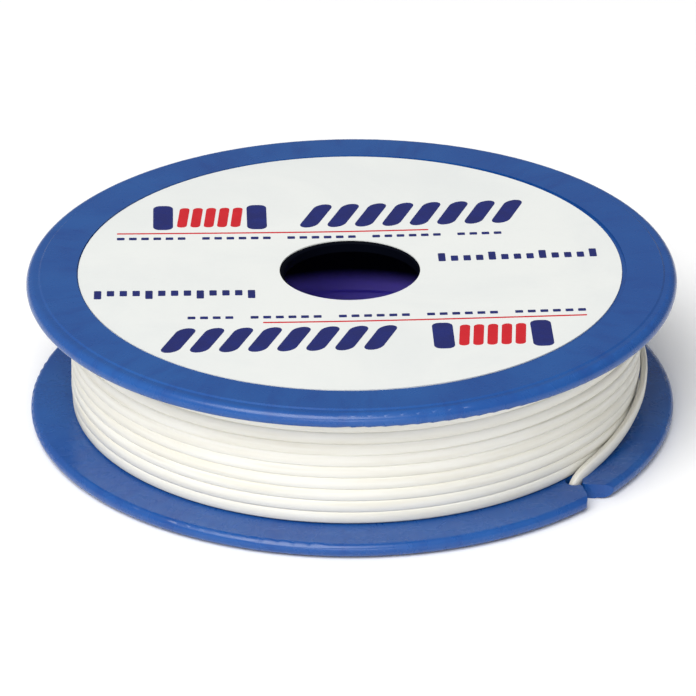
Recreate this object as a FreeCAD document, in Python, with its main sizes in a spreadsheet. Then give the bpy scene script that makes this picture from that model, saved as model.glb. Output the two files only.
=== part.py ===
"""A flat plastic reel of waxed twine, lying on one flange.

Two moulded halves snap together inside the barrel. Each half carries a flange and half of
the barrel that the twine is wound on. The hub is hollow: a spindle passes through a plain
hole in the middle of each flange. A paper label sits in a shallow seat in each outer face.
The twine is wound in level layers between the flanges, and its free end goes down through a
small hole behind a notch in the lower flange's rim, where a slit pinches it.

Millimetres. +Z is up along the reel's axis, and the origin is on that axis in the plane
that the reel rests on.
"""
import FreeCAD, Part
import math
import os

import Sketcher
from FreeCAD import Placement, Rotation, Vector

# Sizes that can be set by themselves.
DRIVING = {
    "flange_dia": 80.0,
    "reel_wide": 19.1,
    "rim_thick": 1.9,
    "rim_round": 0.95,
    "lip_round": 0.75,
    "shoulder_dia": 76.6,
    "shoulder_drop": 0.15,
    "seat_dia": 67.6,
    "seat_deep": 0.3,
    "web_dish": 0.35,
    "bore_dia": 16.7,
    "bore_chamfer": 0.2,
    "barrel_dia": 49.0,
    "barrel_wall": 1.5,
    "spigot_gap": 0.1,
    "spigot_wall": 1.3,
    "spigot_long": 4.0,
    "snap_down": 2.4,
    "snap_proud": 0.25,
    "snap_long": 1.0,
    "paper_thick": 0.15,
    "paper_gap": 0.35,
    "paper_shift_x": -0.2,
    "paper_shift_y": 0.15,
    "paper_hole_gap": 0.32,
    "glue_gap": 0.02,
    "notch_angle": -42.2,
    "notch_deep": 2.7,
    "notch_wide": 3.2,
    "notch_flare": 1.35,
    "slit_wide": 0.5,
    "twine_dia": 1.5,
    "layer_nest": 0.857,
    "wound_dia": 70.0,
    "wound_gap": 0.1,
    "wound_fit": 0.05,
    "wound_round": 0.6,
    "hole_gap": 0.7,
    "hole_out": 0.9,
    "hole_land": 0.6,
    "tail_lift": 0.3,
}

# Sizes that follow from the driving ones, as sheet formulas.
DERIVED = {
    "rim_rad": "flange_dia / 2",
    "shoulder_rad": "shoulder_dia / 2",
    "bead_rad": "shoulder_rad + 1.5 * shoulder_drop",
    "seat_rad": "seat_dia / 2",
    "bore_rad": "bore_dia / 2",
    "barrel_rad": "barrel_dia / 2",
    "barrel_in": "barrel_rad - barrel_wall",
    "spigot_rad": "barrel_in - spigot_gap",
    "spigot_in": "spigot_rad - spigot_wall",
    "web_face": "seat_deep + web_dish",
    "join_level": "reel_wide / 2",
    "spigot_tip": "join_level + spigot_long",
    "bead_low": "join_level + snap_down - snap_long / 2",
    "bead_mid": "join_level + snap_down",
    "bead_high": "join_level + snap_down + snap_long / 2",
    "bead_peak": "spigot_rad + snap_proud",
    "groove_low": "join_level - snap_down - snap_long / 2",
    "groove_mid": "join_level - snap_down",
    "groove_high": "join_level - snap_down + snap_long / 2",
    "groove_deep": "barrel_in + snap_proud",
    "paper_rad": "seat_rad - paper_gap",
    "paper_in": "bore_rad + paper_hole_gap",
    "dish_slope": "web_dish / (seat_rad - bore_rad)",
    "paper_back_out": "seat_deep + dish_slope * (seat_rad - paper_rad) - glue_gap",
    "paper_back_in": "seat_deep + dish_slope * (seat_rad - paper_in) - glue_gap",
    "paper_front_out": "paper_back_out - paper_thick",
    "paper_front_in": "paper_back_in - paper_thick",
    "wound_in": "barrel_rad + wound_fit",
    "wound_rad": "wound_dia / 2",
    "layer_rise": "twine_dia * layer_nest",
    "layer_count": "1 + (wound_rad - barrel_rad - twine_dia) / layer_rise",
    "last_turn": "wound_rad - twine_dia / 2",
    "wound_low": "rim_thick + wound_gap",
    "wound_high": "reel_wide - rim_thick - wound_gap",
    "hole_dia": "twine_dia + hole_gap",
    "hole_rad": "max(wound_rad + hole_out; seat_rad + hole_dia / 2 + hole_land)",
    "notch_apex": "rim_rad - notch_deep",
    "notch_mid": "rim_rad - 0.3 * notch_deep",
    "notch_edge": "rim_rad - 0.1 * notch_deep",
    "notch_out": "rim_rad + 0.2 * notch_deep",
    "slit_up": "slit_wide / 2",
    "mid_up": "notch_wide / 2",
    "edge_up": "notch_wide * notch_flare / 2",
    "out_up": "notch_wide * notch_flare * 0.9",
    "slit_down": "-slit_up",
    "mid_down": "-mid_up",
    "edge_down": "-edge_up",
    "out_down": "-out_up",
}

doc = FreeCAD.newDocument("twine_reel")


def fill_sheet():
    """Spreadsheet of the driving sizes, then of what follows from them."""
    made = doc.addObject("Spreadsheet::Sheet", "size")
    row = 1
    for alias, number in DRIVING.items():
        made.set(f"A{row}", alias)
        made.set(f"B{row}", str(number))
        made.setAlias(f"B{row}", alias)
        row += 1
    for alias, formula in DERIVED.items():
        made.set(f"A{row}", alias)
        made.set(f"B{row}", "=" + formula)
        made.setAlias(f"B{row}", alias)
        row += 1
    doc.recompute()
    return made


sheet = fill_sheet()


def size(alias):
    """Number in one cell of the sheet."""
    return float(sheet.get(alias))


def new_body(name):
    """Empty body whose label names its file."""
    body = doc.addObject("PartDesign::Body", name)
    body.Label = name
    return body


def new_sketch(body, name, role):
    """Sketch on one of the body's own origin planes."""
    sketch = body.newObject("Sketcher::SketchObject", name)
    plane = [item for item in body.Origin.OriginFeatures if item.Role == role][0]
    sketch.AttachmentSupport = [(plane, "")]
    sketch.MapMode = "FlatFace"
    return sketch


def tie_point(sketch, line, point, corner):
    """Ties the start of a sketch line to a pair of sheet cells; None is the axis itself."""
    kinds = (("DistanceX", "across", -2), ("DistanceY", "up", -1))
    for alias, number, (kind, word, axis) in zip(corner, point, kinds):
        if alias is None:
            sketch.addConstraint(Sketcher.Constraint("PointOnObject", line, 1, axis))
            continue
        place = sketch.addConstraint(Sketcher.Constraint(kind, -1, 1, line, 1, number))
        sketch.renameConstraint(place, f"{word}_{line}")
        sketch.setExpression(f"Constraints.{word}_{line}", f"size.{alias}")


def draw_outline(sketch, corners):
    """Closed polygon whose corners are pairs of sheet cells."""
    points = [tuple(0.0 if alias is None else size(alias) for alias in pair) for pair in corners]
    count = len(points)
    for line in range(count):
        start = Vector(*points[line], 0)
        end = Vector(*points[(line + 1) % count], 0)
        sketch.addGeometry(Part.LineSegment(start, end), False)
    for line in range(count):
        after = (line + 1) % count
        sketch.addConstraint(Sketcher.Constraint("Coincident", line, 2, after, 1))
    for line in range(count):
        tie_point(sketch, line, points[line], corners[line])


def revolve(body, name, corners):
    """Full turn of an outline about the reel's axis."""
    sketch = new_sketch(body, name + "_outline", "XZ_Plane")
    draw_outline(sketch, corners)
    turned = body.newObject("PartDesign::Revolution", name)
    turned.Profile = (sketch, [""])
    turned.ReferenceAxis = (sketch, ["V_Axis"])
    turned.Angle = 360.0
    doc.recompute()
    return turned


def ring_edges(shape, radius, level):
    """Names of the circular edges of one radius at one level."""
    names = []
    for number, edge in enumerate(shape.Edges, start=1):
        curve = edge.Curve
        if not isinstance(curve, Part.Circle):
            continue
        if abs(curve.Radius - radius) < 1e-4 and abs(curve.Center.z - level) < 1e-4:
            names.append(f"Edge{number}")
    return names


def soften(body, kind, name, base, radius, level, cell):
    """Fillet or chamfer round one circular edge, its size tied to a cell."""
    made = body.newObject("PartDesign::" + kind, name)
    made.Base = (base, ring_edges(base.Shape, radius, level))
    setting = "Radius" if kind == "Fillet" else "Size"
    setattr(made, setting, size(cell))
    made.setExpression(setting, "size." + cell)
    doc.recompute()
    return made


def flange_corners():
    """Outline of a flange from the bore's mouth out to the rim and back in to the barrel."""
    return [
        ("bore_rad", "web_face"),
        ("seat_rad", "seat_deep"),
        ("seat_rad", None),
        ("shoulder_rad", None),
        ("bead_rad", "shoulder_drop"),
        ("rim_rad", "shoulder_drop"),
        ("rim_rad", "rim_thick"),
        ("barrel_rad", "rim_thick"),
        ("barrel_rad", "join_level"),
    ]


def soften_flange(body, base):
    """Rounds the rim and its inner lip, and chamfers the mouth of the bore."""
    rim = soften(body, "Fillet", body.Name + "_rim", base,
                 size("rim_rad"), size("shoulder_drop"), "rim_round")
    lip = soften(body, "Fillet", body.Name + "_lip", rim,
                 size("rim_rad"), size("rim_thick"), "lip_round")
    return soften(body, "Chamfer", body.Name + "_mouth", lip,
                  size("bore_rad"), size("web_face"), "bore_chamfer")


def cut_through(body, sketch, name):
    """Pocket upward through the flange; the solid has to get smaller."""
    before = body.Shape.Volume
    pocket = body.newObject("PartDesign::Pocket", name)
    pocket.Profile = (sketch, [""])
    pocket.Type = "Length"
    pocket.Reversed = True
    pocket.setExpression("Length", "size.rim_thick * 1.5")
    doc.recompute()
    if body.Shape.Volume >= before:
        raise RuntimeError(name + " removed nothing")
    return pocket


def cut_notch(body):
    """Flared notch in the rim, running in to a narrow slit."""
    sketch = new_sketch(body, "notch_outline", "XY_Plane")
    turn = Rotation(Vector(0, 0, 1), size("notch_angle"))
    sketch.AttachmentOffset = Placement(Vector(0, 0, 0), turn)
    sketch.setExpression("AttachmentOffset.Rotation.Angle", "size.notch_angle")
    upper = [("hole_rad", "slit_up"), ("notch_apex", "slit_up"), ("notch_mid", "mid_up"),
             ("notch_edge", "edge_up"), ("notch_out", "out_up")]
    lower = [(across, up.replace("_up", "_down")) for across, up in reversed(upper)]
    draw_outline(sketch, lower + upper)
    return cut_through(body, sketch, "notch")


def cut_hole(body):
    """Round hole at the slit's inner end that the twine goes down through."""
    sketch = new_sketch(body, "hole_outline", "XY_Plane")
    turn = Rotation(Vector(0, 0, 1), size("notch_angle"))
    sketch.AttachmentOffset = Placement(Vector(0, 0, 0), turn)
    sketch.setExpression("AttachmentOffset.Rotation.Angle", "size.notch_angle")
    centre = Vector(size("hole_rad"), 0, 0)
    sketch.addGeometry(Part.Circle(centre, Vector(0, 0, 1), size("hole_dia") / 2), False)
    sketch.addConstraint(Sketcher.Constraint("PointOnObject", 0, 3, -1))
    out = sketch.addConstraint(Sketcher.Constraint("DistanceX", -1, 1, 0, 3, centre.x))
    sketch.renameConstraint(out, "out")
    sketch.setExpression("Constraints.out", "size.hole_rad")
    wide = sketch.addConstraint(Sketcher.Constraint("Diameter", 0, size("hole_dia")))
    sketch.renameConstraint(wide, "wide")
    sketch.setExpression("Constraints.wide", "size.hole_dia")
    return cut_through(body, sketch, "twine_hole")


def lower_reel_half():
    """Flange, half barrel with the snap groove inside, notch, slit and the twine's hole."""
    body = new_body("lower_reel_half")
    corners = flange_corners() + [
        ("barrel_in", "join_level"),
        ("barrel_in", "groove_high"),
        ("groove_deep", "groove_mid"),
        ("barrel_in", "groove_low"),
        ("barrel_in", "rim_thick"),
        ("bore_rad", "rim_thick"),
    ]
    soften_flange(body, revolve(body, "lower_half_turned", corners))
    cut_notch(body)
    cut_hole(body)
    return body


def upper_reel_half():
    """Flange and half barrel, which steps in to a spigot with the snap bead."""
    body = new_body("upper_reel_half")
    corners = flange_corners() + [
        ("spigot_rad", "join_level"),
        ("spigot_rad", "bead_low"),
        ("bead_peak", "bead_mid"),
        ("spigot_rad", "bead_high"),
        ("spigot_rad", "spigot_tip"),
        ("spigot_in", "spigot_tip"),
        ("spigot_in", "rim_thick"),
        ("bore_rad", "rim_thick"),
    ]
    soften_flange(body, revolve(body, "upper_half_turned", corners))
    turn_over(body)
    return body


def turn_over(body):
    """Turns a piece built face down so that its outer face is the reel's top."""
    body.Placement = Placement(Vector(0, 0, size("reel_wide")), Rotation(Vector(1, 0, 0), 180))
    body.setExpression("Placement.Base.z", "size.reel_wide")


def paper_label(name):
    """Paper ring lying on the slightly dished web, a little off centre in its seat."""
    body = new_body(name)
    corners = [("paper_in", "paper_front_in"), ("paper_rad", "paper_front_out"),
               ("paper_rad", "paper_back_out"), ("paper_in", "paper_back_in")]
    revolve(body, name + "_turned", corners)
    return body


def lower_label():
    """Label on the underside, clear of the surface that the reel rests on."""
    return paper_label("lower_label")


def upper_label():
    """Label on the top face."""
    body = paper_label("upper_label")
    turn_over(body)
    body.Placement.Base.x = size("paper_shift_x")
    body.setExpression("Placement.Base.x", "size.paper_shift_x")
    body.setExpression("Placement.Base.y", "size.paper_shift_y")
    return body


def twine_winding():
    """Outer shape of all the wound turns, a ring that fills the barrel between the flanges."""
    body = new_body("twine_winding")
    corners = [("wound_in", "wound_low"), ("wound_rad", "wound_low"),
               ("wound_rad", "wound_high"), ("wound_in", "wound_high")]
    base = revolve(body, "winding_turned", corners)
    lower = soften(body, "Fillet", "winding_foot", base,
                   size("wound_rad"), size("wound_low"), "wound_round")
    soften(body, "Fillet", "winding_brow", lower,
           size("wound_rad"), size("wound_high"), "wound_round")
    return body


def tail_route():
    """Points of the free end, from inside the last turn to its cut end in the hole.

    Each row gives an angle past the hole, the share of the way out from the winding's last
    turn to the hole, and a level above lying on the lower flange.
    """
    last_turn = size("last_turn")
    way_out = size("hole_rad") - last_turn
    on_flange = size("rim_thick") + size("twine_dia") / 2
    rows = (
        (35.0, 0.0, 0.2),
        (28.0, 0.22, 0.15),
        (21.0, 0.51, 0.1),
        (14.0, 0.73, 0.05),
        (8.2, 0.86, 0.0),
        (3.9, 0.95, -0.1),
        (1.1, 1.0, -0.6),
    )
    notch = size("notch_angle")
    points = []
    for past, share, above in rows:
        points.append(polar(last_turn + share * way_out, notch + past, on_flange + above))
    points.append(polar(size("hole_rad"), notch - 0.3, size("rim_thick") * 0.58))
    points.append(polar(size("hole_rad"), notch - 0.7, size("tail_lift")))
    return points


def polar(radius, angle, level):
    """Point at a radius and an angle in degrees from +X."""
    turn = math.radians(angle)
    return Vector(radius * math.cos(turn), radius * math.sin(turn), level)


def cord_tube(points, diameter):
    """Round tube along straight runs joined by tangent arcs, and the arcs' radii."""
    edges = []
    radii = []
    start = points[0]
    for before, corner, after in zip(points, points[1:], points[2:]):
        into = (corner - before).normalize()
        out = (after - corner).normalize()
        half_turn = into.getAngle(out) / 2
        shorter = min((corner - before).Length, (after - corner).Length)
        reach = 0.45 * shorter
        radius = reach / math.tan(half_turn)
        bisector = (out - into).normalize()
        middle = corner + bisector * (radius / math.cos(half_turn) - radius)
        arc_start = corner - into * reach
        arc_end = corner + out * reach
        edges.append(Part.LineSegment(start, arc_start).toShape())
        edges.append(Part.Arc(arc_start, middle, arc_end).toShape())
        radii.append(radius)
        start = arc_end
    edges.append(Part.LineSegment(start, points[-1]).toShape())
    path = Part.Wire(edges)
    heading = points[1] - points[0]
    section = Part.Wire(Part.makeCircle(diameter / 2, points[0], heading))
    tube = path.makePipeShell([section], True, False)
    return tube, path.Length, radii


def twine_tail():
    """Free end of the twine, off the winding's foot and down through the hole."""
    diameter = size("twine_dia")
    tube, length, radii = cord_tube(tail_route(), diameter)
    expected = math.pi * diameter ** 2 / 4 * length
    print("twine tail: length", round(length, 2), "volume", round(tube.Volume, 3),
          "section x length", round(expected, 3))
    print("twine tail: arc radii", [round(radius, 2) for radius in radii])
    if abs(tube.Volume / expected - 1) > 0.02:
        raise RuntimeError("the tail's tube has lost or gained volume")
    piece = doc.addObject("Part::Feature", "twine_tail")
    piece.Label = "twine_tail"
    piece.Shape = tube
    piece.Placement = Placement(Vector(0, 0, 0), Rotation())
    return piece


def check_document(pieces):
    """Refuses a failed object or a piece that is not one valid solid."""
    for item in doc.Objects:
        if "Invalid" in item.State or "Error" in item.State:
            raise RuntimeError(item.Name + " failed")
    for piece in pieces:
        shape = piece.Shape
        if shape.isNull() or not shape.isValid() or len(shape.Solids) != 1:
            raise RuntimeError(piece.Label + " is not one valid solid")


def main():
    """Builds every piece and writes one file for each."""
    makers = (lower_reel_half, upper_reel_half, lower_label, upper_label,
              twine_winding, twine_tail)
    pieces = [make() for make in makers]
    doc.recompute()
    check_document(pieces)
    os.makedirs("parts", exist_ok=True)
    for piece in pieces:
        piece.Shape.exportStep(f"parts/{piece.Label}.step")
        box = piece.Shape.BoundBox
        print(f"{piece.Label}: volume {piece.Shape.Volume:.1f}, "
              f"x {box.XMin:.2f}..{box.XMax:.2f}, y {box.YMin:.2f}..{box.YMax:.2f}, "
              f"z {box.ZMin:.2f}..{box.ZMax:.2f}")
    turns = int((size("reel_wide") - 2 * size("rim_thick")) / size("twine_dia"))
    layers = round(size("layer_count"))
    middle = (size("barrel_rad") + size("wound_rad")) / 2
    total = turns * layers * 2 * math.pi * middle
    print("turns in a layer", turns, "layers", layers, "twine on the reel", round(total), "mm")


main()
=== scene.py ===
"""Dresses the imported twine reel.

It has two moulded blue halves, a printed paper label on each face, and the waxed twine wound between them. Every size
is in metres unless its name says millimetres. The reel lies on its lower flange on z = 0, with its bore along +Z.
"""

import logging
import math
import random
from dataclasses import dataclass
from enum import Enum
from typing import Optional, Sequence, Union

import bmesh
import bpy
from mathutils import Matrix, Vector


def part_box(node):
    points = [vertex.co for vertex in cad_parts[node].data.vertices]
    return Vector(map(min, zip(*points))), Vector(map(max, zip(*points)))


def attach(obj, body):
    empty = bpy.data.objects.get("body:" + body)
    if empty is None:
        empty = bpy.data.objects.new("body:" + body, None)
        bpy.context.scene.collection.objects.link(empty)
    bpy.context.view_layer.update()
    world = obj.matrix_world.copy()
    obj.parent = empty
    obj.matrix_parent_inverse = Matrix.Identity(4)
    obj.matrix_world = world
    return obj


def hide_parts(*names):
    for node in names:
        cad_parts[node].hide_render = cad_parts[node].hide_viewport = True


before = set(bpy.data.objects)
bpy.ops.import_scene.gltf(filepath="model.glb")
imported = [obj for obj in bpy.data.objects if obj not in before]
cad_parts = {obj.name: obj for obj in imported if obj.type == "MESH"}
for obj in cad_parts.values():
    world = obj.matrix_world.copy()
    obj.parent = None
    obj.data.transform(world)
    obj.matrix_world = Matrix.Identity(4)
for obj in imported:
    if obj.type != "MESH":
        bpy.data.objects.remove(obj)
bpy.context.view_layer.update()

MM = 0.001
BODY = "reel"

Point = tuple[float, float]
Outline = list[Point]
Colour = tuple[float, float, float]
Socket = bpy.types.NodeSocket
Feed = Union[float, Colour, Socket]

log = logging.getLogger("twine_reel")


class Face(Enum):
    """Which of the reel's two faces a piece belongs to."""

    UPPER = 1
    LOWER = -1


class Ink(Enum):
    """The two inks that the labels are printed with."""

    NAVY = "navy"
    RED = "red"


def from_screen(red: int, green: int, blue: int) -> Colour:
    """Turns a colour as a screen shows it into the linear colour that a shader takes.

    Args:
        red: Red, 0 to 255.
        green: Green, 0 to 255.
        blue: Blue, 0 to 255.

    Returns:
        The same colour on a linear scale from 0 to 1.
    """

    def straighten(level: int) -> float:
        """Undoes the screen's curve for one channel.

        Args:
            level: The channel, 0 to 255.

        Returns:
            The same channel on a linear scale from 0 to 1.
        """
        share = level / 255
        return share / 12.92 if share <= 0.04045 else ((share + 0.055) / 1.055) ** 2.4

    return straighten(red), straighten(green), straighten(blue)


class Bench:
    """One material being made up: its nodes, and the few kinds of node that this reel's finishes need."""

    def __init__(self, name: str) -> None:
        """Starts an empty material that holds only a shader and its output.

        Args:
            name: The material's name, in a maker's words.
        """
        self.material = bpy.data.materials.new(name)
        self.material.use_nodes = True
        self.tree = self.material.node_tree
        self.tree.nodes.clear()
        self.shader = self.tree.nodes.new("ShaderNodeBsdfPrincipled")
        output = self.tree.nodes.new("ShaderNodeOutputMaterial")
        self.tree.links.new(self.shader.outputs["BSDF"], output.inputs["Surface"])

    def feed(self, socket: Socket, value: Feed) -> None:
        """Links a node's output to a socket, or sets the socket to a plain number or colour.

        Args:
            socket: The socket to feed.
            value: What it gets.
        """
        if isinstance(value, bpy.types.NodeSocket):
            self.tree.links.new(value, socket)
        elif isinstance(value, tuple) and len(socket.default_value) == 4:
            socket.default_value = (*value, 1.0)
        else:
            socket.default_value = value

    def finish(self, **sockets: Feed) -> bpy.types.Material:
        """Sets the shader's own sockets.

        Args:
            **sockets: Values by socket name, with underscores for spaces.

        Returns:
            The finished material.
        """
        for name, value in sockets.items():
            self.feed(self.shader.inputs[name.replace("_", " ")], value)
        return self.material

    def place(self) -> Socket:
        """Gives the point's own place on the object.

        Returns:
            The place, in metres.
        """
        return self.tree.nodes.new("ShaderNodeTexCoord").outputs["Object"]

    def lay(self, name: str) -> Socket:
        """Gives the place in a named UV map, such as round and along a strand.

        Args:
            name: The map's name.

        Returns:
            The place.
        """
        node = self.tree.nodes.new("ShaderNodeUVMap")
        node.uv_map = name
        return node.outputs["UV"]

    def math(self, operation: str, first: Feed, second: Feed = 0.0, third: Feed = 0.0) -> Socket:
        """Works out one sum.

        Args:
            operation: The Math node's operation.
            first: Its first value.
            second: Its second value.
            third: Its third value, for the operations that take one.

        Returns:
            The result.
        """
        node = self.tree.nodes.new("ShaderNodeMath")
        node.operation = operation
        for socket, value in zip(node.inputs, (first, second, third)):
            self.feed(socket, value)
        return node.outputs["Value"]

    def split(self, vector: Socket) -> tuple[Socket, Socket, Socket]:
        """Takes a vector apart.

        Args:
            vector: The vector.

        Returns:
            Its three numbers.
        """
        node = self.tree.nodes.new("ShaderNodeSeparateXYZ")
        self.feed(node.inputs["Vector"], vector)
        return node.outputs["X"], node.outputs["Y"], node.outputs["Z"]

    def join(self, x: Feed, y: Feed, z: Feed) -> Socket:
        """Puts three numbers together.

        Args:
            x: The first number.
            y: The second number.
            z: The third number.

        Returns:
            The vector.
        """
        node = self.tree.nodes.new("ShaderNodeCombineXYZ")
        for socket, value in zip(node.inputs, (x, y, z)):
            self.feed(socket, value)
        return node.outputs["Vector"]

    def noise(
        self, vector: Socket, scale: float, detail: float = 2.0, rough: float = 0.5, twist: float = 0.0
    ) -> Socket:
        """Makes a cloudy pattern.

        Args:
            vector: Where the pattern is read.
            scale: Lumps in each unit of the vector.
            detail: How many finer layers it has.
            rough: How strong the finer layers are.
            twist: How far the lumps are pulled about.

        Returns:
            The pattern, about 0.5 on the whole.
        """
        node = self.tree.nodes.new("ShaderNodeTexNoise")
        self.feed(node.inputs["Vector"], vector)
        for name, value in (("Scale", scale), ("Detail", detail), ("Roughness", rough), ("Distortion", twist)):
            node.inputs[name].default_value = value
        return node.outputs["Fac"]

    def cells(self, vector: Socket, scale: float) -> Socket:
        """Makes a pattern for specks and pits.

        Args:
            vector: Where the pattern is read.
            scale: Points in each unit of the vector.

        Returns:
            The distance to the nearest of many scattered points.
        """
        node = self.tree.nodes.new("ShaderNodeTexVoronoi")
        self.feed(node.inputs["Vector"], vector)
        node.inputs["Scale"].default_value = scale
        return node.outputs["Distance"]

    def span(self, value: Feed, low: float, high: float, to_low: float = 0.0, to_high: float = 1.0) -> Socket:
        """Moves a value smoothly from one range to another and holds it there.

        Args:
            value: The value.
            low: Where the first range starts.
            high: Where the first range ends.
            to_low: What low becomes.
            to_high: What high becomes.

        Returns:
            The value in its new range.
        """
        node = self.tree.nodes.new("ShaderNodeMapRange")
        node.interpolation_type = "SMOOTHSTEP"
        self.feed(node.inputs["Value"], value)
        for name, number in (("From Min", low), ("From Max", high), ("To Min", to_low), ("To Max", to_high)):
            node.inputs[name].default_value = number
        return node.outputs["Result"]

    def blend(self, share: Feed, first: Feed, second: Feed) -> Socket:
        """Mixes two colours.

        Args:
            share: How much of the second there is.
            first: The first colour.
            second: The second colour.

        Returns:
            The mixed colour.
        """
        node = self.tree.nodes.new("ShaderNodeMix")
        node.data_type = "RGBA"
        colours = [socket for socket in node.inputs if socket.type == "RGBA"]
        self.feed(node.inputs["Factor"], share)
        self.feed(colours[0], first)
        self.feed(colours[1], second)
        return next(socket for socket in node.outputs if socket.type == "RGBA")

    def relief(self, height: Socket, depth: float, strength: float = 1.0, under: Optional[Socket] = None) -> Socket:
        """Raises and sinks the surface a little.

        Args:
            height: The pattern, from 0 to 1.
            depth: How far 1 stands above 0, in metres.
            strength: How much of it shows.
            under: A coarser relief that this one lies on.

        Returns:
            The surface direction for the shader.
        """
        node = self.tree.nodes.new("ShaderNodeBump")
        node.inputs["Distance"].default_value = depth
        node.inputs["Strength"].default_value = strength
        self.feed(node.inputs["Height"], height)
        if under is not None:
            self.feed(node.inputs["Normal"], under)
        return node.outputs["Normal"]


@dataclass(frozen=True)
class MouldedPlastic:
    """Glossy moulded plastic with faint flow lines from the hub, turned rings from the mould and handling marks. Inside
    the hollow hub and on the bore's wall it has painted shade, with painted light on the lower part of the hub's inner
    wall.
    """

    name: str = "blue_polystyrene_moulding"
    body: Colour = from_screen(16, 70, 140)
    pale: Colour = from_screen(27, 86, 154)
    deep: Colour = from_screen(11, 50, 122)
    # The next two colours are painted shade for the bore's wall and the hollow hub's inside, and painted light for the
    # lower part of the hub's inner wall. The two heights after them say where that painted light ends and how far it
    # fades.
    hub_painted_shade: Colour = from_screen(5, 7, 16)
    hub_painted_light: Colour = from_screen(150, 134, 240)
    hub_radius: float = 23.6 * MM
    bore_radius: float = 8.95 * MM
    painted_light_top: float = 8.7 * MM
    painted_light_fade: float = 2.4 * MM
    hollow_low: float = 1.0 * MM
    hollow_high: float = 17.6 * MM
    hollow_edge: float = 0.3 * MM
    ring_pitch: float = 0.42 * MM
    flow_core: float = 2.0 * MM

    def make(self) -> bpy.types.Material:
        """Builds the material.

        Returns:
            The material.
        """
        bench = Bench(self.name)
        place = bench.place()
        x, y, z = bench.split(place)
        radius = bench.math("SQRT", bench.math("ADD", bench.math("MULTIPLY", x, x), bench.math("MULTIPLY", y, y)))
        round_x, round_y = (bench.math("DIVIDE", part, bench.math("ADD", radius, self.flow_core)) for part in (x, y))
        flow = bench.noise(bench.join(round_x, round_y, bench.math("MULTIPLY", radius, 9.0)), 14.0, 3.0, 0.6, 0.4)
        clouds = bench.noise(place, 70.0, 3.0, 0.55, 0.3)
        colour = bench.blend(bench.span(clouds, 0.3, 0.7, 0.0, 0.55), self.body, self.pale)
        colour = bench.blend(bench.span(flow, 0.45, 0.75, 0.0, 0.35), colour, self.deep)
        # Painted shade inside the hollow hub and on the bore's wall, with painted light on the lower part of the hub's
        # inner wall, below a set height.
        inside = bench.span(radius, self.hub_radius, self.hub_radius + 0.1 * MM, 1.0, 0.0)
        inside = bench.math("MULTIPLY", inside, bench.span(z, self.hollow_low, self.hollow_low + self.hollow_edge))
        below = bench.span(z, self.hollow_high - self.hollow_edge, self.hollow_high, 1.0, 0.0)
        bore = bench.span(radius, self.bore_radius, self.bore_radius + 0.05 * MM, 1.0, 0.0)
        inside = bench.math("MAXIMUM", bench.math("MULTIPLY", inside, below), bore)
        painted_light_share = bench.span(z, self.painted_light_top - self.painted_light_fade, self.painted_light_top, 1.0, 0.0)
        hub = bench.blend(painted_light_share, self.hub_painted_shade, self.hub_painted_light)
        colour = bench.blend(inside, colour, hub)
        rings = bench.math("SINE", bench.math("MULTIPLY", radius, 2 * math.pi / self.ring_pitch))
        rings = bench.math("MULTIPLY", rings, bench.span(bench.noise(place, 160.0), 0.4, 0.65))
        handled = bench.noise(place, 330.0, 4.0, 0.65, 0.8)
        scuffs = bench.span(bench.cells(bench.join(bench.math("MULTIPLY", x, 0.16), y, z), 900.0), 0.0, 0.06, 1.0, 0.0)
        scuffs = bench.math("MULTIPLY", scuffs, bench.span(bench.noise(place, 45.0), 0.55, 0.7))
        roughness = bench.math("ADD", bench.span(handled, 0.3, 0.75, 0.23, 0.34), bench.math("MULTIPLY", scuffs, 0.15))
        roughness = bench.math("ADD", roughness, bench.math("MULTIPLY", inside, 0.3))
        waves = bench.relief(bench.noise(place, 110.0, 1.0), 0.05 * MM, 0.5)
        skin = bench.relief(bench.noise(place, 2600.0, 2.0), 0.012 * MM, 0.35, waves)
        turned = bench.relief(bench.math("SUBTRACT", rings, bench.math("MULTIPLY", scuffs, 2.0)), 0.003 * MM, 0.4, skin)
        gloss = bench.span(inside, 0.0, 1.0, 0.46, 0.02)
        return bench.finish(Base_Color=colour, Roughness=roughness, Normal=turned, IOR=1.5, Specular_IOR_Level=gloss)


@dataclass(frozen=True)
class LabelPaper:
    """Coated label paper: nearly white, with faint fibres, a little show-through and a soft gloss."""

    name: str = "coated_label_paper"
    white: Colour = from_screen(227, 229, 226)
    shade: Colour = from_screen(217, 220, 219)
    fibre: Colour = from_screen(211, 211, 204)

    def make(self) -> bpy.types.Material:
        """Builds the material.

        Returns:
            The material.
        """
        bench = Bench(self.name)
        place = bench.place()
        x, y, z = bench.split(place)
        clouds = bench.noise(place, 55.0, 4.0, 0.6, 0.5)
        fibres = bench.noise(bench.join(bench.math("MULTIPLY", x, 0.25), y, z), 2400.0, 3.0, 0.7, 1.5)
        crossing = bench.noise(bench.join(x, bench.math("MULTIPLY", y, 0.25), z), 2100.0, 3.0, 0.7, 1.5)
        colour = bench.blend(bench.span(clouds, 0.3, 0.75, 0.0, 0.7), self.white, self.shade)
        colour = bench.blend(bench.span(fibres, 0.6, 0.8, 0.0, 0.35), colour, self.fibre)
        grain = bench.math("ADD", fibres, crossing)
        cockle = bench.relief(bench.noise(place, 90.0, 2.0, 0.5, 0.4), 0.06 * MM, 0.5)
        surface = bench.relief(grain, 0.012 * MM, 0.4, cockle)
        roughness = bench.span(bench.math("ADD", grain, clouds), 1.1, 1.9, 0.42, 0.58)
        return bench.finish(Base_Color=colour, Roughness=roughness, Normal=surface, IOR=1.45, Specular_IOR_Level=0.35)


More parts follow.
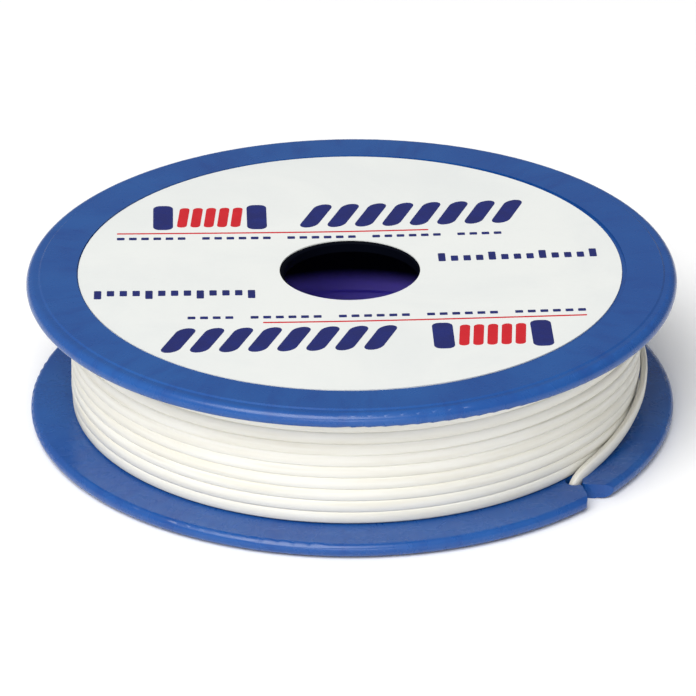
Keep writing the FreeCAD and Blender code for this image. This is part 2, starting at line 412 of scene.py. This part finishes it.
@dataclass(frozen=True)
class PrintingInk:
    """Printing ink on the paper: nearly even, with pinholes and a denser and a thinner lay."""

    name: str
    full: Colour
    thin: Colour
    pinhole: Colour = from_screen(128, 128, 140)

    def make(self) -> bpy.types.Material:
        """Builds the material.

        Returns:
            The material.
        """
        bench = Bench(self.name)
        place = bench.place()
        lay = bench.noise(place, 500.0, 4.0, 0.6, 0.3)
        speckle = bench.noise(place, 5200.0, 2.0, 0.6)
        colour = bench.blend(bench.span(lay, 0.35, 0.75, 0.0, 0.6), self.full, self.thin)
        colour = bench.blend(bench.span(speckle, 0.68, 0.8, 0.0, 0.35), colour, self.pinhole)
        surface = bench.relief(speckle, 0.008 * MM, 0.35)
        roughness = bench.span(bench.math("ADD", lay, speckle), 0.8, 1.3, 0.34, 0.5)
        return bench.finish(Base_Color=colour, Roughness=roughness, Normal=surface, IOR=1.48, Specular_IOR_Level=0.35)


@dataclass(frozen=True)
class WaxedTwine:
    """Waxed white twine: flat plaits of fine filaments, with random darker streaks, and painted shade along the
    strand's sides in the grooves between turns.
    """

    name: str = "waxed_polyester_twine"
    lay_map: str = "lay"
    white: Colour = from_screen(229, 227, 218)
    cream: Colour = from_screen(219, 215, 200)
    streak_and_painted_groove_shade: Colour = from_screen(206, 200, 184)
    plaits: int = 3
    plait_pitch: float = 2.6 * MM
    section_radius: float = 0.75 * MM

    def make(self) -> bpy.types.Material:
        """Builds the material.

        Returns:
            The material.
        """
        bench = Bench(self.name)
        around, along, _ = bench.split(bench.lay(self.lay_map))
        turn = bench.math("MULTIPLY", around, 2 * math.pi)
        side, out = bench.math("SINE", turn), bench.math("COSINE", turn)
        skin = bench.join(
            bench.math("MULTIPLY", side, self.section_radius),
            bench.math("MULTIPLY", out, self.section_radius),
            bench.math("MULTIPLY", along, 0.045),
        )
        filaments = bench.noise(skin, 5200.0, 3.0, 0.6, 0.25)
        streaks = bench.noise(skin, 1500.0, 2.0, 0.55, 0.2)
        patches = bench.noise(bench.join(side, out, bench.math("MULTIPLY", along, 60.0)), 0.9, 3.0, 0.6)
        advance = bench.math("MULTIPLY", along, 2 * math.pi / self.plait_pitch)
        leaning = bench.math("SINE", bench.math("ADD", bench.math("MULTIPLY", turn, float(self.plaits)), advance))
        crossing = bench.math("SINE", bench.math("SUBTRACT", bench.math("MULTIPLY", turn, float(self.plaits)), advance))
        plait = bench.math("MAXIMUM", leaning, crossing)
        colour = bench.blend(bench.span(patches, 0.35, 0.75, 0.0, 0.8), self.white, self.cream)
        colour = bench.blend(bench.span(streaks, 0.55, 0.8, 0.0, 0.4), colour, self.streak_and_painted_groove_shade)
        # Painted shade: the strand's sides, which lie in the grooves between turns, are darkened toward the same tone
        # as the random streaks.
        beside = bench.span(bench.math("ABSOLUTE", side), 0.78, 1.0)
        colour = bench.blend(bench.math("MULTIPLY", beside, 0.45), colour, self.streak_and_painted_groove_shade)
        plaited = bench.relief(bench.math("MULTIPLY", plait, 0.5), 0.02 * MM, 0.35)
        surface = bench.relief(bench.math("ADD", filaments, streaks), 0.03 * MM, 0.45, plaited)
        roughness = bench.span(bench.math("ADD", filaments, patches), 0.8, 1.3, 0.38, 0.6)
        return bench.finish(Base_Color=colour, Roughness=roughness, Normal=surface, IOR=1.46, Specular_IOR_Level=0.35)


@dataclass(frozen=True)
class PaleBoard:
    """The plain pale board that the reel stands on."""

    name: str = "pale_studio_board"
    tone: Colour = (0.98, 0.98, 0.98)
    shade: Colour = (0.965, 0.965, 0.97)

    def make(self) -> bpy.types.Material:
        """Builds the material.

        Returns:
            The material.
        """
        bench = Bench(self.name)
        place = bench.place()
        colour = bench.blend(bench.span(bench.noise(place, 3.0, 2.0), 0.3, 0.7), self.tone, self.shade)
        surface = bench.relief(bench.noise(place, 900.0, 2.0), 0.02 * MM, 0.2)
        return bench.finish(Base_Color=colour, Roughness=0.85, Normal=surface, Specular_IOR_Level=0.1)


def add_piece(name: str, mesh: bpy.types.Mesh, material: bpy.types.Material) -> bpy.types.Object:
    """Puts a new mesh in the scene as a piece of the reel.

    Args:
        name: The piece's name.
        mesh: Its mesh, in metres, in the reel's own frame.
        material: Its finish.

    Returns:
        The piece, riding on the reel.
    """
    mesh.materials.clear()
    mesh.materials.append(material)
    piece = bpy.data.objects.new(name, mesh)
    bpy.context.scene.collection.objects.link(piece)
    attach(piece, BODY)
    return piece


def dress_node(node: str, material: bpy.types.Material) -> None:
    """Gives a carried-over CAD node its finish in every one of its material slots.

    Args:
        node: The node's name.
        material: Its finish.
    """
    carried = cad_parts[node]
    for place in carried.material_slots:
        place.material = material
    log.info("%s: dressed in %s", node, material.name)


@dataclass
class ReelHalves:
    """The two moulded halves that snap together and carry everything else."""

    nodes: tuple[str, str] = ("lower_reel_half", "upper_reel_half")
    plastic: MouldedPlastic = MouldedPlastic()

    def dress(self) -> None:
        """Gives both halves the same moulded plastic."""
        material = self.plastic.make()
        for node in self.nodes:
            dress_node(node, material)


@dataclass
class PrintLayout:
    """The label's print, drawn flat in millimetres about its own centre and then turned to its place on the paper.

    One block stands above the bore and the same block, turned half round, stands below it. It holds a picture of a
    reel, a length of laid cord, a thin rule, and two rows of plain ticks.
    """

    centre: Point = (-0.5, -1.7)
    turned: float = 1.94
    reel_left: float = -23.9
    reel_right: float = -9.6
    reel_low: float = 13.9
    reel_high: float = 21.0
    flange_wide: float = 2.5
    threads: int = 5
    thread_share: float = 0.74
    cord_left: float = -5.8
    cord_right: float = 21.8
    cord_low: float = 14.2
    cord_high: float = 20.9
    strands: int = 8
    strand_share: float = 0.66
    strand_lean: float = 2.6
    rule_left: float = -28.4
    rule_right: float = 10.6
    rule_level: float = 12.85
    rule_thick: float = 0.34
    ticks_left: float = -28.4
    ticks_right: float = 20.2
    ticks_level: float = 11.35
    tick_pitch: float = 1.52
    tick_wide: float = 0.95
    tick_tall: float = 0.72
    tick_group: int = 7
    marks_left: float = 11.4
    marks_right: float = 31.2
    marks_level: float = 4.5
    mark_pitch: float = 1.56
    mark_wide: float = 0.9
    mark_drop: float = 0.9
    mark_short: float = 1.5
    mark_tall: float = 2.3
    mark_group: int = 4
    corner_steps: int = 6

    def bar(
        self, left: float, low: float, right: float, high: float, lean: float = 0.0, corner: float = 0.25
    ) -> Outline:
        """Draws a bar with rounded corners.

        Args:
            left: Its left side at its foot.
            low: Its foot.
            right: Its right side at its foot.
            high: Its head.
            lean: How far its head is shifted to the right of its foot.
            corner: The radius of its corners.

        Returns:
            The bar's outline.
        """
        corner = min(corner, (right - left) / 2, (high - low) / 2)
        points: Outline = []
        corners = (
            (right - corner, low + corner, -90),
            (right - corner, high - corner, 0),
            (left + corner, high - corner, 90),
            (left + corner, low + corner, 180),
        )
        for at_x, at_y, start in corners:
            for step in range(self.corner_steps):
                angle = math.radians(start + 90 / (self.corner_steps - 1) * step)
                x, y = at_x + corner * math.cos(angle), at_y + corner * math.sin(angle)
                points.append((x + lean * (y - low) / (high - low), y))
        return points

    def reel_flanges(self) -> list[Outline]:
        """Draws the pictured reel's two flanges.

        Returns:
            One upright bar for each flange.
        """
        return [
            self.bar(self.reel_left, self.reel_low, self.reel_left + self.flange_wide, self.reel_high, corner=0.9),
            self.bar(self.reel_right - self.flange_wide, self.reel_low, self.reel_right, self.reel_high, corner=0.9),
        ]

    def reel_threads(self) -> list[Outline]:
        """Draws the threads wound on the pictured reel.

        Returns:
            One leaning bar for each thread.
        """
        left, right = self.reel_left + self.flange_wide + 0.45, self.reel_right - self.flange_wide - 0.45
        low, high = self.reel_low + 0.7, self.reel_high - 0.7
        pitch = (right - left) / self.threads
        return [
            self.bar(left + pitch * turn, low, left + pitch * (turn + self.thread_share), high, lean=0.45, corner=0.55)
            for turn in range(self.threads)
        ]

    def laid_cord(self) -> list[Outline]:
        """Draws a length of laid cord as its slanting strands.

        Returns:
            One leaning bar for each strand.
        """
        strands: list[Outline] = []
        pitch = (self.cord_right - self.cord_left) / self.strands
        for strand in range(self.strands):
            left = self.cord_left + pitch * strand
            right = left + pitch * self.strand_share
            strands.append(self.bar(left, self.cord_low, right, self.cord_high, lean=self.strand_lean, corner=1.2))
        return strands

    def rule(self) -> list[Outline]:
        """Draws the thin rule under the cord.

        Returns:
            The rule's outline.
        """
        low, high = self.rule_level - self.rule_thick / 2, self.rule_level + self.rule_thick / 2
        return [self.bar(self.rule_left, low, self.rule_right, high, corner=0.1)]

    def ticks(self) -> list[Outline]:
        """Draws the row of small ticks, in groups with a gap after each.

        Returns:
            One outline for each tick.
        """
        count = int((self.ticks_right - self.ticks_left) / self.tick_pitch) + 1
        foot = self.ticks_level - self.tick_tall / 2
        row: list[Outline] = []
        for tick in range(count):
            if tick % self.tick_group != self.tick_group - 1:
                left = self.ticks_left + tick * self.tick_pitch
                row.append(self.bar(left, foot, left + self.tick_wide, foot + self.tick_tall, corner=0.12))
        return row

    def marks(self) -> list[Outline]:
        """Draws the row of taller and shorter marks beside the bore.

        Returns:
            One outline for each mark.
        """
        count = int((self.marks_right - self.marks_left) / self.mark_pitch) + 1
        row: list[Outline] = []
        for mark in range(count):
            left = self.marks_left + mark * self.mark_pitch
            foot = self.marks_level - self.mark_drop
            tall = self.mark_tall if mark % self.mark_group == 0 else self.mark_short
            row.append(self.bar(left, foot, left + self.mark_wide, foot + tall, corner=0.15))
        return row

    def block(self, ink: Ink) -> list[Outline]:
        """Gathers what one ink prints in one block.

        Args:
            ink: The ink.

        Returns:
            The block's outlines in that ink.
        """
        if ink is Ink.RED:
            return self.reel_threads() + self.rule()
        return self.reel_flanges() + self.laid_cord() + self.ticks() + self.marks()

    def outlines(self, ink: Ink) -> list[Outline]:
        """Places both blocks on the label.

        Args:
            ink: Which ink's shapes are wanted.

        Returns:
            The outlines in millimetres on the label, seen from its printed side.
        """
        placed: list[Outline] = []
        at_x, at_y = self.centre
        for half_turn in (0.0, 180.0):
            angle = math.radians(self.turned + half_turn)
            cos, sin = math.cos(angle), math.sin(angle)
            for outline in self.block(ink):
                placed.append([(at_x + x * cos - y * sin, at_y + x * sin + y * cos) for x, y in outline])
        return placed


@dataclass
class FaceLabel:
    """A round paper label glued in a face's seat, and the ink printed on it."""

    face: Face
    node: str
    middle: Point
    paper: bpy.types.Material
    inks: dict[Ink, bpy.types.Material]
    layout: PrintLayout
    outer_radius: float = 33.45 * MM
    dish: float = 0.01375
    ink_proud: float = 0.016 * MM
    ink_sunk: float = 0.008 * MM
    cut_every: float = 2.0 * MM
    cut_reach: float = 1e-7

    def rim_level(self) -> float:
        """Finds the height of the printed side at the label's outer edge.

        Returns:
            The height, in metres.
        """
        low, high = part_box(self.node)
        return high.z if self.face is Face.UPPER else low.z

    def sink(self, x: float, y: float) -> float:
        """Finds how far the printed side has sunk below its outer edge, in the shallow dish round the bore.

        Args:
            x: Across the reel, in metres.
            y: Up the label, in metres.

        Returns:
            The depth, which is 0 at the outer edge.
        """
        return self.dish * (self.outer_radius - math.hypot(x - self.middle[0], y - self.middle[1]))

    def ink_mesh(self, ink: Ink) -> bpy.types.Mesh:
        """Builds one ink's film as thin closed solids that follow the paper's dish.

        Args:
            ink: Which ink.

        Returns:
            The film's mesh.
        """
        film = bmesh.new()
        for outline in self.layout.outlines(ink):
            film.faces.new([film.verts.new((x * MM, y * MM * self.face.value, 0.0)) for x, y in outline])
        reach = int(self.outer_radius / self.cut_every) + 1
        for cut in range(-reach, reach + 1):
            for across in (Vector((1, 0, 0)), Vector((0, 1, 0))):
                parts = film.verts[:] + film.edges[:] + film.faces[:]
                at = across * (cut * self.cut_every)
                bmesh.ops.bisect_plane(film, geom=parts, plane_co=at, plane_no=across, dist=self.cut_reach)
        bmesh.ops.recalc_face_normals(film, faces=film.faces[:])
        for face in film.faces:
            if face.normal.z * self.face.value > 0:
                face.normal_flip()
        raised = bmesh.ops.extrude_face_region(film, geom=film.faces[:])
        tops = {part for part in raised["geom"] if isinstance(part, bmesh.types.BMVert)}
        rim = self.rim_level()
        for vert in film.verts:
            lift = self.ink_proud if vert in tops else -self.ink_sunk
            vert.co.z = rim + (lift - self.sink(vert.co.x, vert.co.y)) * self.face.value
        bmesh.ops.recalc_face_normals(film, faces=film.faces[:])
        mesh = bpy.data.meshes.new(f"{self.node}_{ink.value}_print")
        film.to_mesh(mesh)
        film.free()
        return mesh

    def build(self) -> None:
        """Dresses the paper and lays the ink on it."""
        dress_node(self.node, self.paper)
        for ink in Ink:
            mesh = self.ink_mesh(ink)
            piece = add_piece(f"{self.node}_{ink.value}_print", mesh, self.inks[ink])
            log.info("%s: %d faces", piece.name, len(mesh.polygons))


@dataclass
class TwineWinding:
    """The whole length of twine: layers of turns round the barrel, and the tail tucked into the lower flange's hole."""

    finish: WaxedTwine = WaxedTwine()
    diameter: float = 1.5 * MM
    layers: int = 8
    turns: int = 10
    first_radius: float = 25.2515 * MM
    layer_rise: float = 1.2855 * MM
    lowest: float = 2.8 * MM
    pitch: float = 1.5 * MM
    crossing_share: float = 0.25
    crossing_ends: float = -45.0
    leaves_at: float = 135.0
    swell: float = 0.9 * MM
    swell_at: float = 2.0
    swell_reach: float = 62.0
    points_per_turn: int = 24
    wander_up: float = 0.07 * MM
    wander_out: float = 0.07 * MM
    seed: int = 29
    half_wide: float = 0.825 * MM
    half_thick: float = 0.70 * MM
    tail_flattened: float = 0.62
    tail_flattens_in: float = 20.0 * MM
    tail_radius: float = 36.0 * MM
    squareness: float = 4.5
    loose_squareness: float = 2.7
    loose_at: float = -12.0
    loose_reach: float = 62.0
    sides: int = 14
    seen_step: float = 0.72 * MM
    seen_early: float = 10.0 * MM
    hidden_step: float = 6.0 * MM
    dive: float = 14.0 * MM
    dive_step: float = 0.25 * MM
    tail: tuple[tuple[float, float, float], ...] = (
        (34.3, 134.0, 16.28),
        (34.8, 121.0, 16.1),
        (35.32, 104.0, 15.2),
        (35.42, 84.0, 13.6),
        (35.5, 62.0, 11.8),
        (35.85, 40.0, 9.9),
        (36.3, 20.0, 8.1),
        (36.5, 3.0, 6.5),
        (36.4, -9.0, 5.3),
        (36.15, -18.0, 4.3),
        (35.95, -25.6, 3.45),
        (35.85, -32.4, 2.9),
        (35.85, -37.8, 2.6),
        (35.9, -41.1, 2.05),
        (35.9, -42.5, 1.102),
        (35.9, -42.9, 0.3),
    )

    def polar(self, radius: float, azimuth: float, height: float) -> Vector:
        """Places a point round the reel.

        Args:
            radius: Its distance from the reel's axis.
            azimuth: Where round the reel, in degrees.
            height: Its height.

        Returns:
            The point.
        """
        angle = math.radians(azimuth)
        return Vector((radius * math.cos(angle), radius * math.sin(angle), height))

    def eased(self, share: float) -> float:
        """Runs from 0 to 1 with a gentle start and end.

        Args:
            share: How far along, held between 0 and 1.

        Returns:
            The eased share.
        """
        share = min(1.0, max(0.0, share))
        return share * share * (3 - 2 * share)

    def swelling(self, layer: int, azimuth: float) -> float:
        """Finds how far a layer stands out where the turns below cross over and can't nest.

        Args:
            layer: The layer, counted from the barrel.
            azimuth: Where round the reel, in degrees.

        Returns:
            How far it is pushed outward.
        """
        off = abs((azimuth - self.swell_at + 180.0) % 360.0 - 180.0)
        return self.swell * (layer + 1) / self.layers * self.eased(1.0 - off / self.swell_reach)

    def winding_points(self) -> list[Vector]:
        """Lays the turns, each flat round most of the reel and stepping over to the next one in the rest.

        Returns:
            The spline's control points, from the barrel out to where the tail leaves the outer layer.
        """
        chance = random.Random(self.seed)
        points: list[Vector] = []
        spread = 1 / math.cos(math.pi / self.points_per_turn)
        flat = 1.0 - self.crossing_share
        left_out = round((self.leaves_at - self.crossing_ends) / 360.0 * self.points_per_turn)
        for layer in range(self.layers):
            rising = layer % 2 == 1
            radius = self.first_radius + layer * self.layer_rise
            for turn in range(self.turns):
                last = turn == self.turns - 1
                lean, phase, proud = chance.uniform(-1, 1), chance.uniform(0, 2 * math.pi), chance.uniform(-1, 0)
                outermost = last and layer == self.layers - 1
                count = self.points_per_turn - left_out if outermost else self.points_per_turn
                for step in range(count):
                    share = step / self.points_per_turn
                    azimuth = self.crossing_ends - 360.0 * share
                    over = self.eased((share - flat) / self.crossing_share)
                    level = turn + (0.0 if last else over)
                    out = radius + (self.layer_rise * over if last else 0.0) + self.swelling(layer, azimuth)
                    out += self.wander_out * (proud + 0.6 * math.sin(2 * math.pi * share + phase * 2) - 0.6)
                    height = self.lowest + self.pitch * (level if rising else self.turns - 1 - level)
                    sway = lean * math.sin(4 * math.pi * share + phase) * min(1.0, level, self.turns - 1 - level)
                    points.append(self.polar(out * spread, azimuth, height + self.wander_up * sway))
        return points

    def tail_points(self) -> list[Vector]:
        """Places the tail's own points.

        Returns:
            The points, which slant down over the outer layer and dive into the lower flange's hole.
        """
        return [self.polar(radius * MM, azimuth, height * MM) for radius, azimuth, height in self.tail]

    def route(self) -> tuple[list[Vector], int]:
        """Reads the twine's line from one smooth spline through the winding and the tail.

        Returns:
            The line's points, and how many of them belong to the winding.
        """
        winding, tail = self.winding_points(), self.tail_points()
        controls = winding + tail
        curve = bpy.data.curves.new("twine_route", "CURVE")
        curve.dimensions = "3D"
        curve.resolution_u = 8
        spline = curve.splines.new("NURBS")
        spline.points.add(len(controls) - 1)
        for point, place in zip(spline.points, controls):
            point.co = (*place, 1.0)
        spline.order_u = 3
        spline.use_endpoint_u = True
        carrier = bpy.data.objects.new("twine_route", curve)
        bpy.context.scene.collection.objects.link(carrier)
        line_mesh = bpy.data.meshes.new_from_object(carrier)
        line = [vert.co.copy() for vert in line_mesh.vertices]
        bpy.data.objects.remove(carrier)
        bpy.data.curves.remove(curve)
        bpy.data.meshes.remove(line_mesh)
        return line, round(len(line) * len(winding) / len(controls))

    def ring_places(self) -> tuple[list[Vector], list[float], float]:
        """Spaces the tube's rings along the line: close where they show, wide apart under the outer layer.

        Returns:
            The ring centres, how far along the twine each one is, and how far along it the tail starts.
        """
        line, winding_ends = self.route()
        runs = [0.0]
        for before, after in zip(line, line[1:]):
            runs.append(runs[-1] + (after - before).length)
        covered = range(self.layers - 1)
        hidden_to = sum(2 * math.pi * (self.first_radius + self.layer_rise * layer) for layer in covered) * self.turns
        tail_from = runs[min(winding_ends, len(runs) - 1)]
        centres: list[Vector] = []
        along: list[float] = []
        at, segment = 0.0, 0
        total = runs[-1]
        while at < total:
            while runs[segment + 1] < at:
                segment += 1
            share = (at - runs[segment]) / (runs[segment + 1] - runs[segment])
            centres.append(line[segment].lerp(line[segment + 1], share))
            along.append(at)
            if at > total - self.dive:
                at += self.dive_step
            else:
                at += self.seen_step if at > hidden_to - self.seen_early else self.hidden_step
        centres.append(line[-1].copy())
        along.append(total)
        return centres, along, tail_from

    def looseness(self, centre: Vector) -> float:
        """Finds how loosely the turns lie at a place.

        Args:
            centre: A ring's centre.

        Returns:
            0 where the twine is drawn flat, and up to 1 where the turns cross and it stays round.
        """
        azimuth = math.degrees(math.atan2(centre.y, centre.x))
        return self.eased(1.0 - abs((azimuth - self.loose_at + 180.0) % 360.0 - 180.0) / self.loose_reach)

    def section(self, turn: float, looseness: float) -> tuple[float, float]:
        """Gives the twine's flattened section.

        Args:
            turn: The place round the strand, in radians from its outer side.
            looseness: 0 where the twine is drawn flat, and 1 where it stays roundest.

        Returns:
            How far that place is outward and sideways from the strand's middle.
        """
        out, side = math.cos(turn), math.sin(turn)
        power = 2 / (self.squareness + (self.loose_squareness - self.squareness) * looseness)
        return (
            self.half_thick * math.copysign(abs(out) ** power, out),
            self.half_wide * math.copysign(abs(side) ** power, side),
        )

    def tube_mesh(self, centres: Sequence[Vector], along: Sequence[float], tail_from: float) -> bpy.types.Mesh:
        """Skins the strand, which lies flatter where the tail is drawn tight over the outer layer.

        Args:
            centres: The ring centres.
            along: How far along the twine each ring is.
            tail_from: How far along the twine the tail starts.

        Returns:
            A closed tube with its lay stored as a UV map: round the strand, and along it in metres.
        """
        verts: list[Vector] = []
        for index, centre in enumerate(centres):
            before, after = centres[max(0, index - 1)], centres[min(len(centres) - 1, index + 1)]
            heading = (after - before).normalized()
            outward = Vector((centre.x, centre.y, 0.0)).normalized()
            outward = (outward - heading * outward.dot(heading)).normalized()
            sideways = heading.cross(outward)
            drawn = self.eased((along[index] - tail_from) / self.tail_flattens_in)
            flatness = 1.0 - (1.0 - self.tail_flattened) * drawn
            looseness = self.looseness(centre)
            for side in range(self.sides):
                out, across = self.section(2 * math.pi * side / self.sides, looseness)
                verts.append(centre + outward * out * flatness + sideways * across)
        faces: list[tuple[int, ...]] = []
        lay: list[Point] = []
        for index in range(len(centres) - 1):
            for side in range(self.sides):
                beyond = (side + 1) % self.sides
                base, ahead = index * self.sides, (index + 1) * self.sides
                faces.append((base + side, base + beyond, ahead + beyond, ahead + side))
                near, far = side / self.sides, (side + 1) / self.sides
                lay += [(near, along[index]), (far, along[index]), (far, along[index + 1]), (near, along[index + 1])]
        end = (len(centres) - 1) * self.sides
        faces.append(tuple(reversed(range(self.sides))))
        faces.append(tuple(range(end, end + self.sides)))
        lay += [(0.0, along[0])] * self.sides + [(0.0, along[-1])] * self.sides
        mesh = bpy.data.meshes.new("twine")
        mesh.from_pydata([tuple(vert) for vert in verts], [], faces)
        uv_map = mesh.uv_layers.new(name=self.finish.lay_map)
        uv_map.data.foreach_set("uv", [number for pair in lay for number in pair])
        mesh.polygons.foreach_set("use_smooth", [True] * len(mesh.polygons))
        mesh.update()
        return mesh

    def build(self) -> bpy.types.Object:
        """Returns:
            The twine.
        """
        centres, along, tail_from = self.ring_places()
        mesh = self.tube_mesh(centres, along, tail_from)
        twine = add_piece("twine", mesh, self.finish.make())
        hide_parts("twine_winding", "twine_tail")
        log.info("twine: %d rings, %.3f m along its line", len(centres), along[-1])
        return twine

    def length(self) -> float:
        """Works out the twine's length from its turns and its tail.

        Returns:
            The length, in metres.
        """
        layers = range(self.layers)
        turns = sum(2 * math.pi * (self.first_radius + self.layer_rise * layer) * self.turns for layer in layers)
        saved = 2 * math.pi * self.tail[0][0] * MM * (self.leaves_at - self.crossing_ends) / 360
        slant = math.radians(self.tail[0][1] - self.tail[-1][1]) * self.tail_radius
        return turns - saved + math.hypot(slant, (self.tail[0][2] - self.tail[-1][2]) * MM)


@dataclass
class Studio:
    """The pale board, the soft lights and the camera."""

    board_size: float = 6.0
    board_gap: float = 0.02 * MM
    aim_height: float = 0.01
    camera_away: float = 0.56
    camera_up: float = 27.12
    pan: float = -0.05
    tilt: float = 0.724
    roll: float = 0.29
    lens: float = 231.77
    sky_azimuth: float = -125.0
    sky_elevation: float = 38.0
    sky_tint: Colour = (0.975, 0.985, 1.0)
    sky_from: float = -0.7
    sky_to: float = 0.95
    sky_dim: float = 0.24
    sky_bright: float = 0.66

    def lay_board(self) -> None:
        """Lays the board that the reel stands on."""
        half, level = self.board_size / 2, -self.board_gap
        corners = [(-half, -half, level), (half, -half, level), (half, half, level), (-half, half, level)]
        mesh = bpy.data.meshes.new("board")
        mesh.from_pydata(corners, [], [(0, 1, 2, 3)])
        mesh.materials.append(PaleBoard().make())
        board = bpy.data.objects.new("board", mesh)
        bpy.context.scene.collection.objects.link(board)

    def toward(self, azimuth: float, elevation: float) -> Vector:
        """Finds the way to a place in the sky.

        Args:
            azimuth: Its compass angle, in degrees from +X.
            elevation: How high it stands, in degrees.

        Returns:
            The direction, one long.
        """
        around, up = math.radians(azimuth), math.radians(elevation)
        return Vector((math.cos(up) * math.cos(around), math.cos(up) * math.sin(around), math.sin(up)))

    def add_softbox(
        self, name: str, azimuth: float, elevation: float, away: float, size: Point, power: float, tint: Colour
    ) -> None:
        """Hangs a soft light that faces the reel.

        Args:
            name: The light's name.
            azimuth: Its compass angle round the reel, in degrees from +X.
            elevation: How high it stands, in degrees.
            away: Its distance.
            size: Its width and its height.
            power: Its power in watts.
            tint: Its colour.
        """
        lamp = bpy.data.lights.new(name, "AREA")
        lamp.shape = "ELLIPSE"
        lamp.size, lamp.size_y = size
        lamp.energy = power
        lamp.color = tint
        holder = bpy.data.objects.new(name, lamp)
        bpy.context.scene.collection.objects.link(holder)
        direction = self.toward(azimuth, elevation)
        holder.location = direction * away + Vector((0.0, 0.0, self.aim_height))
        holder.rotation_euler = direction.to_track_quat("Z", "Y").to_euler()

    def light(self) -> None:
        """Sets the sky, brighter at the front and left, and hangs the softboxes."""
        world = bpy.data.worlds.new("studio_sky")
        bpy.context.scene.world = world
        world.use_nodes = True
        nodes, links = world.node_tree.nodes, world.node_tree.links
        backdrop = nodes["Background"]
        backdrop.inputs["Color"].default_value = (*self.sky_tint, 1.0)
        facing = nodes.new("ShaderNodeVectorMath")
        facing.operation = "DOT_PRODUCT"
        facing.inputs[1].default_value = self.toward(self.sky_azimuth, self.sky_elevation)
        links.new(nodes.new("ShaderNodeTexCoord").outputs["Generated"], facing.inputs[0])
        fall = nodes.new("ShaderNodeMapRange")
        fall.interpolation_type = "SMOOTHSTEP"
        ends = {"From Min": self.sky_from, "From Max": self.sky_to, "To Min": self.sky_dim, "To Max": self.sky_bright}
        for name, number in ends.items():
            fall.inputs[name].default_value = number
        links.new(facing.outputs["Value"], fall.inputs["Value"])
        links.new(fall.outputs["Result"], backdrop.inputs["Strength"])
        self.add_softbox("key_softbox", -116.0, 52.0, 1.1, (0.95, 0.8), 10.9, (1.0, 0.99, 0.97))
        self.add_softbox("front_fill", -92.0, 12.0, 1.3, (0.9, 0.3), 3.0, (1.0, 0.995, 0.985))

    def set_camera(self) -> None:
        """Stands the camera at the front, looking down on the reel."""
        up_angle = math.radians(self.camera_up)
        place = Vector((0.0, -self.camera_away * math.cos(up_angle), self.camera_away * math.sin(up_angle)))
        forward, right = (-place).normalized(), Vector((1.0, 0.0, 0.0))
        up = right.cross(forward)
        pan, tilt, roll = math.radians(self.pan), math.radians(self.tilt), math.radians(self.roll)
        level = math.sin(pan) * right + math.cos(pan) * forward
        right = math.cos(pan) * right - math.sin(pan) * forward
        forward, up = math.sin(tilt) * up + math.cos(tilt) * level, math.cos(tilt) * up - math.sin(tilt) * level
        right, up = math.cos(roll) * right - math.sin(roll) * up, math.sin(roll) * right + math.cos(roll) * up
        camera = bpy.data.cameras.new("front_camera")
        camera.lens = self.lens
        camera.sensor_width = 36.0
        camera.clip_start, camera.clip_end = 0.01, 50.0
        holder = bpy.data.objects.new("front_camera", camera)
        bpy.context.scene.collection.objects.link(holder)
        axes = Matrix((right, up, -forward)).transposed().to_4x4()
        holder.matrix_world = Matrix.Translation(place) @ axes
        bpy.context.scene.camera = holder

    def build(self) -> None:
        """Sets the whole studio up."""
        self.lay_board()
        self.light()
        self.set_camera()
        bpy.context.scene.view_settings.view_transform = "Standard"
        log.info("studio: board, lights and camera")


def main() -> None:
    """Builds the studio and then the reel, piece by piece."""
    logging.basicConfig(level=logging.INFO, format="%(name)s: %(message)s")
    Studio().build()
    TwineWinding().build()
    ReelHalves().dress()
    paper = LabelPaper().make()
    inks = {
        Ink.NAVY: PrintingInk("navy_printing_ink", from_screen(14, 24, 96), from_screen(24, 38, 116)).make(),
        Ink.RED: PrintingInk("red_printing_ink", from_screen(196, 14, 30), from_screen(206, 34, 44)).make(),
    }
    layout = PrintLayout()
    FaceLabel(Face.UPPER, "upper_label", (-0.2 * MM, 0.15 * MM), paper, inks, layout).build()
    FaceLabel(Face.LOWER, "lower_label", (0.0, 0.0), paper, inks, layout).build()


if __name__ == "__main__":
    main()
